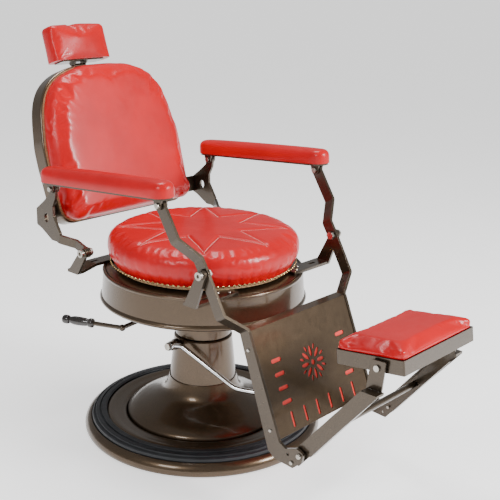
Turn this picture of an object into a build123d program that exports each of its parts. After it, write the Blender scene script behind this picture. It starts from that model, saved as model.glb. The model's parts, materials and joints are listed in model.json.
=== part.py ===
from build123d import *
import os
from math import cos, hypot, radians, sin

# A hydraulic barber chair. Millimetres, +Z up, the sitter faces -Y, and the origin is the
# centre of the base on the floor. The sitter's left is +X: "left" parts lie at x > 0.
# Side profiles are given as (y, z) points, which are local (x, y) on Plane.YZ.

# ---- driving dimensions: base and lift ----
BASE_RADIUS = 330.0
BASE_PLATE_THICKNESS = 5.0
RUBBER_OUTER_RADIUS = 311.0
RUBBER_INNER_RADIUS = 268.0
DOME_RADIUS = 211.0
COLUMN_TOP = 268.0
COLUMN_TOP_RADIUS = 80.0
COLUMN_WALL = 6.0
CYLINDER_RADIUS = 42.0
CYLINDER_BORE = 36.0
PISTON_RADIUS = 30.0
PISTON_TOP = 330.0
RUNNING_GAP = 0.06

# ---- driving dimensions: seat ----
HUB_BOTTOM = 270.0
HUB_RADIUS = 76.0
BOWL_FLOOR = 372.0
BOWL_LIP_Z = 385.0
BOWL_LIP_RADIUS = 281.0
BOWL_RIM_Z = 463.0
BOWL_RIM_RADIUS = 272.0
SEAT_PLATE_RADIUS = 262.0
STRAP_THICKNESS = 8.0
STRAP_TOP = BOWL_RIM_Z + STRAP_THICKNESS
BRACKET_WIDTH = 42.0
CUSHION_RADIUS = 266.0
CUSHION_TOP = 568.0
BOARD_RADIUS = 234.0

# ---- driving dimensions: linkage, seen from the side as (y, z) ----
FRONT_PIVOT = (-248.0, 551.0)
ARM_FRONT = (-148.0, 708.0)
ARM_REAR = (266.0, 675.0)
REAR_PIVOT = (ARM_REAR[0] + FRONT_PIVOT[0] - ARM_FRONT[0],
              ARM_REAR[1] + FRONT_PIVOT[1] - ARM_FRONT[1])
PANEL_TOP = (-327.0, 413.0)
FOOT_PIVOT = (-508.0, 154.0)
FOOT_ELBOW = (-681.0, 366.0)
FLIP_PIVOT = (-684.0, 421.0)

# ---- sideways places of the linkage: the middle of each bar's thickness ----
ARM_X = 291.0
LEVER_X = 244.5
FRONT_BRACKET_X = 254.0
LINK_X = 266.0
REAR_BRACKET_X = 275.5
LEG_BAR_X = 187.0
FOOT_ARM_X = 177.0
UPRIGHT_X = 152.0
BAR_WIDTH = 30.0
BAR_THICKNESS = 8.0
PIVOT_BOLT_RADIUS = 6.0
ARM_BOLT_RADIUS = 4.0
ARM_PIVOT_SLACK = 0.4

# ---- backrest: a frame of its own, leaning back from the upright ----
BACK_LEAN = 18.5
SHELL_REAR = -170.0
SHELL_FRONT = -120.0
BACK_BOTTOM = 625.0
BACK_TOP = 1057.0
BACK_HALF_WIDTH = 236.0

# ---- legrest panel, footrest and armrests ----
PANEL_CORNER = (-340.0, 418.0)
PANEL_LEAN = 22.5
PANEL_HEIGHT = 268.0
PANEL_HALF_WIDTH = 182.5
FOOTREST_TILT = 7.8
FOOTREST_WIDTH = 290.0
FOOTREST_DEPTH = 182.0
TRAY_DEPTH = 34.0
ARM_PLATE_LOW = 15.0
ARM_PLATE_THICKNESS = 5.0
ARM_PAD_THICKNESS = 40.0

SIDES = {"left": 1.0, "right": -1.0}

os.makedirs("parts", exist_ok=True)


# ---- helpers: outlines and planes ----
def bar_outline(path, width, bend):
    """Corners, and their radii, round a flat bar of this width bent along a path."""
    steps = [(b[0] - a[0], b[1] - a[1]) for a, b in zip(path, path[1:])]
    units = [(dx / hypot(dx, dy), dy / hypot(dx, dy)) for dx, dy in steps]
    left, right, left_radii, right_radii = [], [], [], []
    for index, point in enumerate(path):
        before = units[max(index - 1, 0)]
        after = units[min(index, len(units) - 1)]
        scale = width / 2 / (1 + before[0] * after[0] + before[1] * after[1])
        across = (-(before[1] + after[1]) * scale, (before[0] + after[0]) * scale)
        left.append((point[0] + across[0], point[1] + across[1]))
        right.append((point[0] - across[0], point[1] - across[1]))
        turn = before[0] * after[1] - before[1] * after[0]
        at_end = index in (0, len(path) - 1)
        left_radii.append(1.0 if at_end else bend + (width if turn < 0 else 0))
        right_radii.append(1.0 if at_end else bend + (width if turn > 0 else 0))
    return left + right[::-1], left_radii + right_radii[::-1]


def bar_plane(base, tip):
    """A plane through the bar's axis: local x is global X, local y runs from base to tip."""
    length = hypot(tip[0] - base[0], tip[1] - base[1])
    along = ((tip[0] - base[0]) / length, (tip[1] - base[1]) / length)
    return Plane(origin=(0, *base), x_dir=(1, 0, 0), z_dir=(0, -along[1], along[0]))


def side_plane(x):
    """The plane of a side profile at this sideways place; local axes are Y and Z."""
    return Plane(origin=(x, 0, 0), x_dir=(0, 1, 0), z_dir=(1, 0, 0))


def leaning_plane(foot, lean, depth):
    """A plane that leans back by this angle, this far forward of a foot at (y, z).

    Local x is global X, local y climbs the plane and its normal points forward."""
    angle = radians(lean)
    origin = (0, foot[0] - cos(angle) * depth, foot[1] + sin(angle) * depth)
    return Plane(origin=origin, x_dir=(1, 0, 0), z_dir=(0, -cos(angle), sin(angle)))


def back_plane(depth):
    """A plane across the backrest; local y is the height along its slope."""
    return leaning_plane((0.0, 0.0), BACK_LEAN, depth)


def panel_plane(depth):
    """A plane across the legrest panel; local y is 0 along its top edge and falls below it."""
    return leaning_plane(PANEL_CORNER, PANEL_LEAN, depth)


def footrest_plane(height):
    """A plane across the footrest at this height over its pivot; local y runs to the rear."""
    tilt = radians(FOOTREST_TILT)
    origin = (0, FLIP_PIVOT[0] + sin(tilt) * height, FLIP_PIVOT[1] + cos(tilt) * height)
    return Plane(origin=origin, x_dir=(1, 0, 0), z_dir=(0, sin(tilt), cos(tilt)))


def arm_point(u, v):
    """The (y, z) of a point u forward of an armrest's middle and v above its pivot line."""
    forward = (ARM_FRONT[0] - ARM_REAR[0], ARM_FRONT[1] - ARM_REAR[1])
    length = hypot(*forward)
    along = (forward[0] / length, forward[1] / length)
    return ((ARM_FRONT[0] + ARM_REAR[0]) / 2 + along[0] * u + along[1] * v,
            (ARM_FRONT[1] + ARM_REAR[1]) / 2 + along[1] * u - along[0] * v)


def armrest_plane(side, height):
    """A plane across an armrest, over its pivot line; local x runs forward from its middle."""
    low, high, ahead = arm_point(0, height), arm_point(0, height + 1), arm_point(1, height)
    return Plane(origin=(side * ARM_X, *low), x_dir=(0, ahead[0] - low[0], ahead[1] - low[1]),
                 z_dir=(0, high[0] - low[0], high[1] - low[1]))


# ---- base ----
def make_base_plate():
    with BuildPart() as base_plate:
        Cylinder(316, BASE_PLATE_THICKNESS, align=(Align.CENTER, Align.CENTER, Align.MIN))
        with PolarLocations(52, 6):
            Hole(5.1, depth=2 * BASE_PLATE_THICKNESS)
    base_plate.part.label = "base_plate"
    export_step(base_plate.part, "parts/base_plate.step")


def make_base_pan():
    """The spun steel pan: a rounded outer lip, a recess for the rubber and an inner ring."""
    with BuildPart() as base_pan:
        with BuildSketch(Plane.XZ):
            with BuildLine():
                Polyline((319, 0), (322, 0), (327, 3))
                Spline((327, 3), (BASE_RADIUS, 14), (325, 27), (313.5, 35.5))
                Polyline((313.5, 35.5), (311.5, 34.5), (310.5, 27.5), (268, 38.5), (267, 46))
                Spline((267, 46), (264, 48), (240, 46.5), (220, 44.5), (214.5, 41))
                Polyline((214.5, 41), (214.5, BASE_PLATE_THICKNESS), (218, BASE_PLATE_THICKNESS),
                         (218, 39), (262, 42), (264.5, 33.5), (309, 22.5), (319, 24.5))
                Spline((319, 24.5), (325.5, 14), (322.5, 6), (319, 4))
                Line((319, 4), (319, 0))
            make_face()
        revolve(axis=Axis.Z)
    base_pan.part.label = "base_pan"
    export_step(base_pan.part, "parts/base_pan.step")


def make_rubber_ring():
    """The step-proof rubber ring, with two grooves, in the pan's recess."""
    with BuildPart() as rubber_ring:
        with BuildSketch(Plane.XZ):
            with BuildLine():
                FilletPolyline((RUBBER_INNER_RADIUS + 0.8, 38.6), (RUBBER_INNER_RADIUS + 0.8, 50),
                               (273, 53), (284, 52.5), (285.5, 48), (288, 47.5), (289.5, 51),
                               (299, 48.5), (300.5, 44), (303, 43.3), (304.5, 45.5), (308.5, 43),
                               (RUBBER_OUTER_RADIUS - 0.8, 36), (RUBBER_OUTER_RADIUS - 1.4, 28.1),
                               radius=0.7, close=True)
            make_face()
        revolve(axis=Axis.Z)
    rubber_ring.part.label = "rubber_ring"
    export_step(rubber_ring.part, "parts/rubber_ring.step")


def make_pedestal():
    """The bell-shaped dome and its tapering column, one hollow casting."""
    with BuildPart() as pedestal:
        with BuildSketch(Plane.XZ):
            with BuildLine():
                Line((DOME_RADIUS - 6, BASE_PLATE_THICKNESS), (DOME_RADIUS, BASE_PLATE_THICKNESS))
                Line((DOME_RADIUS, BASE_PLATE_THICKNESS), (DOME_RADIUS, 42))
                Spline((DOME_RADIUS, 42), (204, 54), (188, 66), (160, 79), (126, 94), (104, 114),
                       (93, 146), (88, 190), tangents=[(0, 1), (-0.08, 1)])
                Line((88, 190), (COLUMN_TOP_RADIUS + 1.5, 252))
                Line((COLUMN_TOP_RADIUS + 1.5, 252), (COLUMN_TOP_RADIUS + 0.5, COLUMN_TOP - 3))
                Line((COLUMN_TOP_RADIUS + 0.5, COLUMN_TOP - 3), (COLUMN_TOP_RADIUS - 3, COLUMN_TOP))
                Line((COLUMN_TOP_RADIUS - 3, COLUMN_TOP), (56, COLUMN_TOP))
                Line((56, COLUMN_TOP), (56, COLUMN_TOP - 6))
                Line((56, COLUMN_TOP - 6), (COLUMN_TOP_RADIUS - COLUMN_WALL, COLUMN_TOP - 6))
                Line((COLUMN_TOP_RADIUS - COLUMN_WALL, COLUMN_TOP - 6), (82 - COLUMN_WALL + 5, 190))
                Spline((81, 190), (86, 146), (98, 110), (122, 88), (158, 73), (184, 60), (199, 48),
                       (DOME_RADIUS - 6, 38), tangents=[(0.08, -1), (0, -1)])
                Line((DOME_RADIUS - 6, 38), (DOME_RADIUS - 6, BASE_PLATE_THICKNESS))
            make_face()
        revolve(axis=Axis.Z)
        with BuildSketch(side_plane(-60)):
            with Locations(PEDAL_PIVOT):
                Circle(PEDAL_SHAFT_RADIUS + 1.0)
        extrude(amount=-40, mode=Mode.SUBTRACT)
    pedestal.part.label = "pedestal"
    export_step(pedestal.part, "parts/pedestal.step")


def make_cylinder():
    """The oil cylinder inside the column, on its foot, with the gland and wiper on top."""
    with BuildPart() as cylinder_foot:
        with BuildSketch(Plane.XY.offset(BASE_PLATE_THICKNESS)):
            Circle(66)
        extrude(amount=20)
        with PolarLocations(52, 6):
            Hole(5.1)
        fillet(cylinder_foot.edges().group_by(Axis.Z)[-1].filter_by(GeomType.CIRCLE)
               .sort_by(SortBy.RADIUS)[-1], 2)
    cylinder_foot.part.label = "cylinder_foot"
    export_step(cylinder_foot.part, "parts/cylinder_foot.step")

    with BuildPart() as cylinder_tube:
        with BuildSketch(Plane.XY.offset(BASE_PLATE_THICKNESS + 20)):
            Circle(CYLINDER_RADIUS)
            Circle(CYLINDER_BORE, mode=Mode.SUBTRACT)
        extrude(amount=219)
    cylinder_tube.part.label = "cylinder_tube"
    export_step(cylinder_tube.part, "parts/cylinder_tube.step")

    with BuildPart() as gland_nut:
        with BuildSketch(Plane.XY.offset(244)):
            RegularPolygon(49, 8)
            Circle(PISTON_RADIUS + RUNNING_GAP, mode=Mode.SUBTRACT)
        extrude(amount=17)
    gland_nut.part.label = "gland_nut"
    export_step(gland_nut.part, "parts/gland_nut.step")

    with BuildPart() as wiper_seal:
        with BuildSketch(Plane.XZ):
            with BuildLine():
                Polyline((PISTON_RADIUS + RUNNING_GAP, 261), (38, 261), (38, 264), (33, 266.5),
                         (PISTON_RADIUS + RUNNING_GAP, 266.5), close=True)
            make_face()
        revolve(axis=Axis.Z)
    wiper_seal.part.label = "wiper_seal"
    export_step(wiper_seal.part, "parts/wiper_seal.step")

    with BuildPart() as base_bolts:
        with PolarLocations(52, 6):
            Cylinder(5, BASE_PLATE_THICKNESS + 20, align=(Align.CENTER, Align.CENTER, Align.MIN))
        with BuildSketch(Plane.XY.offset(BASE_PLATE_THICKNESS + 20)):
            with PolarLocations(52, 6):
                RegularPolygon(8.5, 6)
        extrude(amount=7)
    base_bolts.part.label = "base_bolts"
    export_step(base_bolts.part, "parts/base_bolts.step")


# ---- pump pedal ----
PEDAL_PIVOT = (14.0, 254.0)
PEDAL_SHAFT_RADIUS = 7.0
PEDAL_ROD_RADIUS = 6.5


def make_pump():
    """The pedal's boss on the column, its shaft and rod, and the pump inside the column."""
    with BuildPart() as pedal_bracket:
        with BuildSketch(side_plane(-86)):
            with Locations(PEDAL_PIVOT):
                Circle(15)
                Circle(PEDAL_SHAFT_RADIUS + RUNNING_GAP, mode=Mode.SUBTRACT)
        extrude(amount=-12)
        fillet(pedal_bracket.faces().sort_by(Axis.X)[0].outer_wire().edges(), 2)
    pedal_bracket.part.label = "pedal_bracket"
    export_step(pedal_bracket.part, "parts/pedal_bracket.step")

    with BuildPart() as pump_shaft:
        with BuildSketch(side_plane(-50)):
            with Locations(PEDAL_PIVOT):
                Circle(PEDAL_SHAFT_RADIUS)
        extrude(amount=-70)
        with BuildSketch(side_plane(-50)):
            with BuildLine():
                Polyline((PEDAL_PIVOT[0], PEDAL_PIVOT[1] + 6),
                         (PEDAL_PIVOT[0] - 22, PEDAL_PIVOT[1] - 1),
                         (PEDAL_PIVOT[0] - 24, PEDAL_PIVOT[1] - 7),
                         (PEDAL_PIVOT[0], PEDAL_PIVOT[1] - 6), close=True)
            make_face()
        extrude(amount=-12)
        with BuildSketch(side_plane(-117)):
            with Locations(PEDAL_PIVOT):
                RegularPolygon(11, 6)
        extrude(amount=-7)
    pump_shaft.part.label = "pump_shaft"
    export_step(pump_shaft.part, "parts/pump_shaft.step")

    rod_route = [(-108.0, PEDAL_PIVOT[0], PEDAL_PIVOT[1]), (-104.0, -22.0, 262.0),
                 (-62.0, -182.0, 176.0), (-30.0, -262.0, 176.0), (34.0, -322.0, 182.0)]
    with BuildPart() as pedal_rod:
        with BuildLine() as rod_line:
            FilletPolyline(*rod_route, radius=[12, 60, 40])
        with BuildSketch(Plane(origin=rod_route[0], z_dir=rod_line.line % 0)):
            Circle(PEDAL_ROD_RADIUS)
        sweep()
        with BuildSketch(side_plane(-99.5)):
            with Locations(PEDAL_PIVOT):
                Circle(13)
        extrude(amount=-17)
        with BuildSketch(side_plane(-99)):
            with Locations(PEDAL_PIVOT):
                Circle(PEDAL_SHAFT_RADIUS)
        extrude(amount=-19, mode=Mode.SUBTRACT)
    pedal_rod.part.label = "pedal_rod"
    export_step(pedal_rod.part, "parts/pedal_rod.step")

    heading = Vector(64, -60, 6).normalized()
    tip = Vector(*rod_route[-1])
    with BuildPart() as pedal_grip:
        with BuildSketch(Plane(origin=tip - heading * 58, z_dir=heading)):
            Circle(11)
            Circle(PEDAL_ROD_RADIUS, mode=Mode.SUBTRACT)
        extrude(amount=58)
        with BuildSketch(Plane(origin=tip, z_dir=heading)):
            Circle(11)
        extrude(amount=6)
        fillet(pedal_grip.edges().filter_by(lambda edge: abs(edge.radius - 11) < 0.1
               if edge.geom_type == GeomType.CIRCLE else False), 2)
    pedal_grip.part.label = "pedal_grip"
    export_step(pedal_grip.part, "parts/pedal_grip.step")

    with BuildPart() as pump_barrel:
        with BuildSketch(Plane.XY.offset(150)):
            with Locations((-56, -9)):
                Circle(13)
                Circle(7 + RUNNING_GAP, mode=Mode.SUBTRACT)
        extrude(amount=80)
    pump_barrel.part.label = "pump_barrel"
    export_step(pump_barrel.part, "parts/pump_barrel.step")

    with BuildPart() as pump_plunger:
        with BuildSketch(Plane.XY.offset(168)):
            with Locations((-56, -9)):
                Circle(7)
        extrude(amount=78.4)
    pump_plunger.part.label = "pump_plunger"
    export_step(pump_plunger.part, "parts/pump_plunger.step")


# ---- lift ----
def make_piston():
    with BuildPart() as piston_rod:
        with BuildSketch(Plane.XZ):
            with BuildLine():
                Polyline((0, 44), (PISTON_RADIUS, 44), (PISTON_RADIUS, 322), (58, 322),
                         (58, PISTON_TOP), (16, PISTON_TOP), (16, 378), (0, 378), close=True)
            make_face()
        revolve(axis=Axis.Z)
    piston_rod.part.label = "piston_rod"
    export_step(piston_rod.part, "parts/piston_rod.step")

    with BuildPart() as piston_head:
        with BuildSketch(Plane.XY.offset(30)):
            Circle(CYLINDER_BORE - RUNNING_GAP)
        extrude(amount=14)
    piston_head.part.label = "piston_head"
    export_step(piston_head.part, "parts/piston_head.step")

    with BuildPart() as thrust_bearing:
        with BuildSketch(Plane.XY.offset(PISTON_TOP)):
            Circle(54)
            Circle(24, mode=Mode.SUBTRACT)
        extrude(amount=5.6)
    thrust_bearing.part.label = "thrust_bearing"
    export_step(thrust_bearing.part, "parts/thrust_bearing.step")


# ---- seat ----
def make_swivel_hub():
    with BuildPart() as swivel_hub:
        with BuildSketch(Plane.XZ):
            with BuildLine():
                Polyline((62, HUB_BOTTOM), (HUB_RADIUS - 2, HUB_BOTTOM), (HUB_RADIUS, HUB_BOTTOM + 2),
                         (HUB_RADIUS, 352), (120, 362), (120, BOWL_FLOOR), (16 + RUNNING_GAP, BOWL_FLOOR),
                         (16 + RUNNING_GAP, 336), (62, 336), close=True)
            make_face()
        revolve(axis=Axis.Z)
        with BuildSketch(Plane.XY.offset(350)):
            with PolarLocations(100, 4, start_angle=35):
                Circle(5.2)
        extrude(amount=30, mode=Mode.SUBTRACT)
    swivel_hub.part.label = "swivel_hub"
    export_step(swivel_hub.part, "parts/swivel_hub.step")


def make_bowl():
    """The spun seat bowl: a flat floor, a beaded lip, a drum wall and a rolled rim."""
    with BuildPart() as seat_bowl:
        with BuildSketch(Plane.XZ):
            with BuildLine():
                Polyline((20, BOWL_FLOOR), (258, BOWL_FLOOR), (272, BOWL_FLOOR + 5))
                Spline((272, BOWL_FLOOR + 5), (278, BOWL_LIP_Z - 5), (BOWL_LIP_RADIUS, BOWL_LIP_Z),
                       (278.5, BOWL_LIP_Z + 5), (275.5, BOWL_LIP_Z + 8))
                Line((275.5, BOWL_LIP_Z + 8), (BOWL_RIM_RADIUS - 2, BOWL_RIM_Z - 9))
                Spline((BOWL_RIM_RADIUS - 2, BOWL_RIM_Z - 9), (BOWL_RIM_RADIUS, BOWL_RIM_Z - 6),
                       (BOWL_RIM_RADIUS - 0.5, BOWL_RIM_Z - 2), (BOWL_RIM_RADIUS - 4, BOWL_RIM_Z))
                Polyline((BOWL_RIM_RADIUS - 4, BOWL_RIM_Z), (264.5, BOWL_RIM_Z), (264.5, 456),
                         (267, 454), (272, 396), (270, 384), (257, 375), (20, 375),
                         (20, BOWL_FLOOR))
            make_face()
        revolve(axis=Axis.Z)
        for angle in (35, 125, 215, 305):
            with BuildSketch(Plane.XY.offset(BOWL_FLOOR - 1)):
                with Locations((100 * cos(radians(angle)), 100 * sin(radians(angle)))):
                    Circle(5.2)
            extrude(amount=6, mode=Mode.SUBTRACT)
    seat_bowl.part.label = "seat_bowl"
    export_step(seat_bowl.part, "parts/seat_bowl.step")


def make_seat_frame():
    """The four-armed casting inside the bowl that carries the seat plate on the hub."""
    with BuildPart() as seat_frame:
        with BuildSketch(Plane.XY.offset(375)):
            Circle(112)
            Circle(20, mode=Mode.SUBTRACT)
        extrude(amount=12)
        for angle in (0, 90, 180, 270):
            arm_plane = Plane.XZ.rotated((0, 0, angle))
            with BuildSketch(arm_plane):
                with BuildLine():
                    Polyline((30, 386), (110, 386), (225, 436), (225, 458), (30, 458), close=True)
                make_face()
            extrude(amount=8, both=True)
        with BuildSketch(Plane.XY.offset(374)):
            with PolarLocations(100, 4, start_angle=35):
                Circle(5.2)
        extrude(amount=14, mode=Mode.SUBTRACT)
    seat_frame.part.label = "seat_frame"
    export_step(seat_frame.part, "parts/seat_frame.step")


def strap_screw_spots():
    """Where two screws hold each bracket's strap to the seat plate."""
    spots = []
    for x_side in (1, -1):
        for y, reach in ((-202.0, 153.0), (-219.0, 129.0), (203.0, 153.0), (220.0, 129.0)):
            spots.append((x_side * reach, y))
    return spots


def make_seat_plate():
    with BuildPart() as seat_plate:
        with BuildSketch(Plane.XY.offset(BOWL_RIM_Z - 5)):
            Circle(SEAT_PLATE_RADIUS)
            with Locations(*strap_screw_spots()):
                Circle(2.6, mode=Mode.SUBTRACT)
        extrude(amount=5)
    seat_plate.part.label = "seat_plate"
    export_step(seat_plate.part, "parts/seat_plate.step")

    with BuildPart() as seat_screws:
        with BuildSketch(Plane.XY.offset(BOWL_RIM_Z - 5)):
            with Locations(*strap_screw_spots()):
                Circle(2.5)
        extrude(amount=STRAP_THICKNESS + 5)
        with BuildSketch(Plane.XY.offset(STRAP_TOP)):
            with Locations(*strap_screw_spots()):
                Circle(4.2)
        extrude(amount=2.4, taper=25)
        with BuildSketch(Plane.XY.offset(BOWL_FLOOR - 10)):
            with PolarLocations(100, 4, start_angle=35):
                Circle(5)
        extrude(amount=26)
    seat_screws.part.label = "seat_screws"
    export_step(seat_screws.part, "parts/seat_screws.step")


def make_brackets(label, pivot, strap_middle, leg_x, strap_path):
    """A left and right seat bracket: a strap over the rim, and a leg up to a linkage pivot."""
    foot_z = strap_path[-1][1]
    half = BRACKET_WIDTH / 2
    with BuildPart() as brackets:
        for side in SIDES.values():
            outline, radii = bar_outline([(side * x, z) for x, z in strap_path], STRAP_THICKNESS, 3)
            with BuildSketch(Plane(origin=(0, strap_middle, 0), x_dir=(1, 0, 0), z_dir=(0, -1, 0))):
                with BuildLine():
                    FilletPolyline(*outline, radius=radii, close=True)
                make_face()
            extrude(amount=half, both=True)
            with BuildSketch(side_plane(side * leg_x)):
                with BuildLine():
                    Polyline((strap_middle - half, foot_z - 4), (strap_middle + half, foot_z - 4),
                             (pivot[0] + 13.5, pivot[1] + 2), (pivot[0] - 13.5, pivot[1] - 2),
                             close=True)
                make_face()
                with Locations(pivot):
                    Circle(14)
            extrude(amount=STRAP_THICKNESS / 2, both=True)
            with BuildSketch(side_plane(side * leg_x)):
                with Locations(pivot):
                    Circle(PIVOT_BOLT_RADIUS + 0.1)
            extrude(amount=STRAP_THICKNESS, both=True, mode=Mode.SUBTRACT)
            with BuildSketch(Plane.XY.offset(BOWL_RIM_Z - 1)):
                with Locations((side * 205, strap_middle)):
                    SlotOverall(26, 8)
            extrude(amount=STRAP_THICKNESS + 2, mode=Mode.SUBTRACT)
        with BuildSketch(Plane.XY.offset(BOWL_RIM_Z - 1)):
            with Locations(*strap_screw_spots()):
                Circle(2.6)
        extrude(amount=STRAP_THICKNESS + 2, mode=Mode.SUBTRACT)
    brackets.part.label = label
    export_step(brackets.part, f"parts/{label}.step")


def make_pivot_bolts():
    """Four shouldered bolts with socket heads outside and nuts inside."""
    places = []
    for side in SIDES.values():
        places.append((side, FRONT_PIVOT, LEVER_X - 14, FRONT_BRACKET_X + 4))
        places.append((side, REAR_PIVOT, LINK_X - 14, REAR_BRACKET_X + 4))
    with BuildPart() as pivot_bolts:
        for side, pivot, inner, outer in places:
            with BuildSketch(side_plane(side * inner)):
                with Locations(pivot):
                    Circle(PIVOT_BOLT_RADIUS)
            extrude(amount=side * (outer - inner))
            with BuildSketch(side_plane(side * outer)):
                with Locations(pivot):
                    Circle(10.5)
            extrude(amount=side * 10)
            with BuildSketch(side_plane(side * (outer + 5))):
                with Locations(pivot):
                    RegularPolygon(5, 6)
            extrude(amount=side * 6, mode=Mode.SUBTRACT)
            with BuildSketch(side_plane(side * (inner + 9))):
                with Locations(pivot):
                    RegularPolygon(11, 6)
            extrude(amount=-side * 9)
    pivot_bolts.part.label = "pivot_bolts"
    export_step(pivot_bolts.part, "parts/pivot_bolts.step")


def make_cushion():
    with BuildPart() as cushion_board:
        with BuildSketch(Plane.XY.offset(STRAP_TOP)):
            Circle(BOARD_RADIUS)
        extrude(amount=12)
    cushion_board.part.label = "cushion_board"
    export_step(cushion_board.part, "parts/cushion_board.step")

    with BuildPart() as seat_cushion:
        with BuildSketch(Plane.XZ):
            with BuildLine():
                Polyline((0, 483.3), (BOARD_RADIUS + 0.5, 483.3), (BOARD_RADIUS + 0.5, 474.5),
                         (246, 474.5), (250, 488))
                ThreePointArc((250, 488), (CUSHION_RADIUS, 520), (262, 548))
                ThreePointArc((262, 548), (252, 561), (232, 566))
                Polyline((232, 566), (0, CUSHION_TOP + 2), (0, 483.3))
            make_face()
        revolve(axis=Axis.Z)
    seat_cushion.part.label = "seat_cushion"
    export_step(seat_cushion.part, "parts/seat_cushion.step")


def make_nails():
    """The row of domed upholstery nails round the cushion's hem."""
    count = 112
    with BuildPart() as cushion_nails:
        for index in range(count):
            angle = 360 * (index + 0.5) / count
            around = Vector(cos(radians(angle)), sin(radians(angle)), 0)
            spot = around * NAIL_RING + Vector(0, 0, NAIL_HEIGHT)
            with BuildSketch(Plane(origin=spot, z_dir=around - Vector(0, 0, 4 / 13.5))):
                Circle(NAIL_RADIUS)
            extrude(amount=2.2, taper=36)
    cushion_nails.part.label = "cushion_nails"
    export_step(cushion_nails.part, "parts/cushion_nails.step")


NAIL_RING = 248.95
NAIL_HEIGHT = 484.0
NAIL_RADIUS = 3.7

# ---- recline handle ----
HANDLE_AXIS = (69.0, 330.0)
HANDLE_SHAFT_RADIUS = 6.0


def make_handle():
    """The recline handle: a cross shaft in a block under the bowl, a rod back to a turned grip."""
    with BuildPart() as handle_block:
        with BuildSketch(side_plane(-152)):
            with BuildLine():
                Polyline((HANDLE_AXIS[0] - 14, HANDLE_AXIS[1] - 12),
                         (HANDLE_AXIS[0] + 14, HANDLE_AXIS[1] - 12),
                         (HANDLE_AXIS[0] + 22, BOWL_FLOOR), (HANDLE_AXIS[0] - 22, BOWL_FLOOR),
                         close=True)
            make_face()
            with Locations(HANDLE_AXIS):
                Circle(HANDLE_SHAFT_RADIUS + RUNNING_GAP, mode=Mode.SUBTRACT)
        extrude(amount=38)
    handle_block.part.label = "handle_block"
    export_step(handle_block.part, "parts/handle_block.step")

    knuckle = (-241.0, 59.0, 330.0)
    grip_start = (-278.0, 146.0, 330.0)
    with BuildPart() as handle_rod:
        with BuildSketch(side_plane(-104)):
            with Locations(HANDLE_AXIS):
                Circle(HANDLE_SHAFT_RADIUS)
        extrude(amount=-64)
        for start, end in (((-168, *HANDLE_AXIS), knuckle), (knuckle, grip_start)):
            reach = Vector(*end) - Vector(*start)
            with BuildSketch(Plane(origin=start, z_dir=reach.normalized())):
                Circle(HANDLE_SHAFT_RADIUS)
            extrude(amount=reach.length)
            with Locations(start):
                Sphere(9, rotation=(0, 90, 0))
    handle_rod.part.label = "handle_rod"
    export_step(handle_rod.part, "parts/handle_rod.step")

    heading = (Vector(*grip_start) - Vector(*knuckle)).normalized()
    profile = Plane(origin=Vector(*grip_start) - heading * 12, x_dir=heading, z_dir=(0, 0, 1))
    with BuildPart() as handle_grip:
        with BuildSketch(profile):
            with BuildLine():
                Polyline((0, HANDLE_SHAFT_RADIUS), (0, 8), (1, 9))
                Spline((1, 9), (5, 12.5), (10, 12.5), (15, 9), tangents=[(0.3, 1), (0.3, -1)])
                Spline((15, 9), (26, 11), (44, 12), (62, 11), (72, 8), tangents=[(1, 0.2), (1, -0.4)])
                Spline((72, 8), (80, 12), (88, 11.5), (93, 7), tangents=[(0.4, 1), (0.5, -1)])
                Line((93, 7), (95, 0))
                Polyline((95, 0), (12, 0), (12, HANDLE_SHAFT_RADIUS), (0, HANDLE_SHAFT_RADIUS))
            make_face()
        revolve(axis=Axis(profile.origin, heading))
    handle_grip.part.label = "handle_grip"
    export_step(handle_grip.part, "parts/handle_grip.step")


# ---- backrest ----
def make_rear_links():
    """The wide rear links, each with a lug for the backrest and a bar in to its seat pivot."""
    knee = (254.0, 546.0)
    reach = hypot(knee[0] - REAR_PIVOT[0], knee[1] - REAR_PIVOT[1])
    path = [(LINK_X, -6), (LINK_X, 45), (ARM_X, reach - 12), (ARM_X, reach + 5)]
    for name, side in SIDES.items():
        outline, radii = bar_outline([(side * x, s) for x, s in path], BAR_THICKNESS, 4)
        with BuildPart() as rear_link:
            with BuildSketch(side_plane(side * ARM_X)):
                with BuildLine():
                    FilletPolyline((252.5, 676), (256, 652), (269, 626), (268, 600), (241, 558),
                                   (246, 534), (276, 534), (318, 558), (340, 566), (340, 610),
                                   (308, 634), (281, 658), (279.5, 676), radius=4, close=True)
                make_face()
                with Locations(ARM_REAR):
                    Circle(13.5)
                    Circle(4 + RUNNING_GAP, mode=Mode.SUBTRACT)
                with Locations((297, 592)):
                    Ellipse(9, 13, mode=Mode.SUBTRACT)
            extrude(amount=BAR_THICKNESS / 2, both=True)
            with BuildSketch(bar_plane(REAR_PIVOT, knee)):
                with BuildLine():
                    FilletPolyline(*outline, radius=radii, close=True)
                make_face()
            extrude(amount=12, both=True)
            with BuildSketch(side_plane(side * LINK_X)):
                with Locations(REAR_PIVOT):
                    Circle(14)
            extrude(amount=BAR_THICKNESS / 2, both=True)
            with BuildSketch(side_plane(side * LINK_X)):
                with Locations(REAR_PIVOT):
                    Circle(6 + RUNNING_GAP)
            extrude(amount=BAR_THICKNESS, both=True, mode=Mode.SUBTRACT)
        rear_link.part.label = f"rear_link_{name}"
        export_step(rear_link.part, f"parts/rear_link_{name}.step")


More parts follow.
